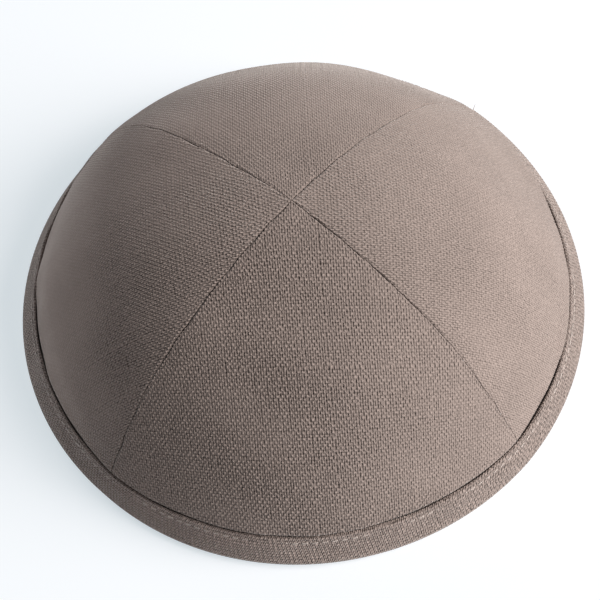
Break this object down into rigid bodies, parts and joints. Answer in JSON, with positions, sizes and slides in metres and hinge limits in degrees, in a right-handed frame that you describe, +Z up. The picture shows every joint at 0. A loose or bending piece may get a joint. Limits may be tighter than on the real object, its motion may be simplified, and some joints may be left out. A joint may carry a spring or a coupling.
{
  "type": "kippah skullcap",
  "caption": "Round skullcap sewn from curved linen gores that meet at the crown, with a folded binding round its open rim; rests rim down and is worn on the back of the head.",
  "frame": {"origin": "middle of the rim's width and depth, on the surface that the cap rests on", "axes": "+Z up through the crown; -Y towards the front gore; +X towards the right-hand gore"},
  "size_m": [0.1704, 0.1684, 0.0542],
  "materials": {
    "crown_linen": "matt taupe plain-weave linen with visible yarns",
    "binding_linen": "matt taupe plain-weave linen tape, folded and topstitched"
  },
  "bodies": {
    "root": {"panel_front": "crown_linen", "panel_right": "crown_linen", "panel_back": "crown_linen", "panel_left": "crown_linen", "rim_binding": "binding_linen"}
  },
  "joints": []
}
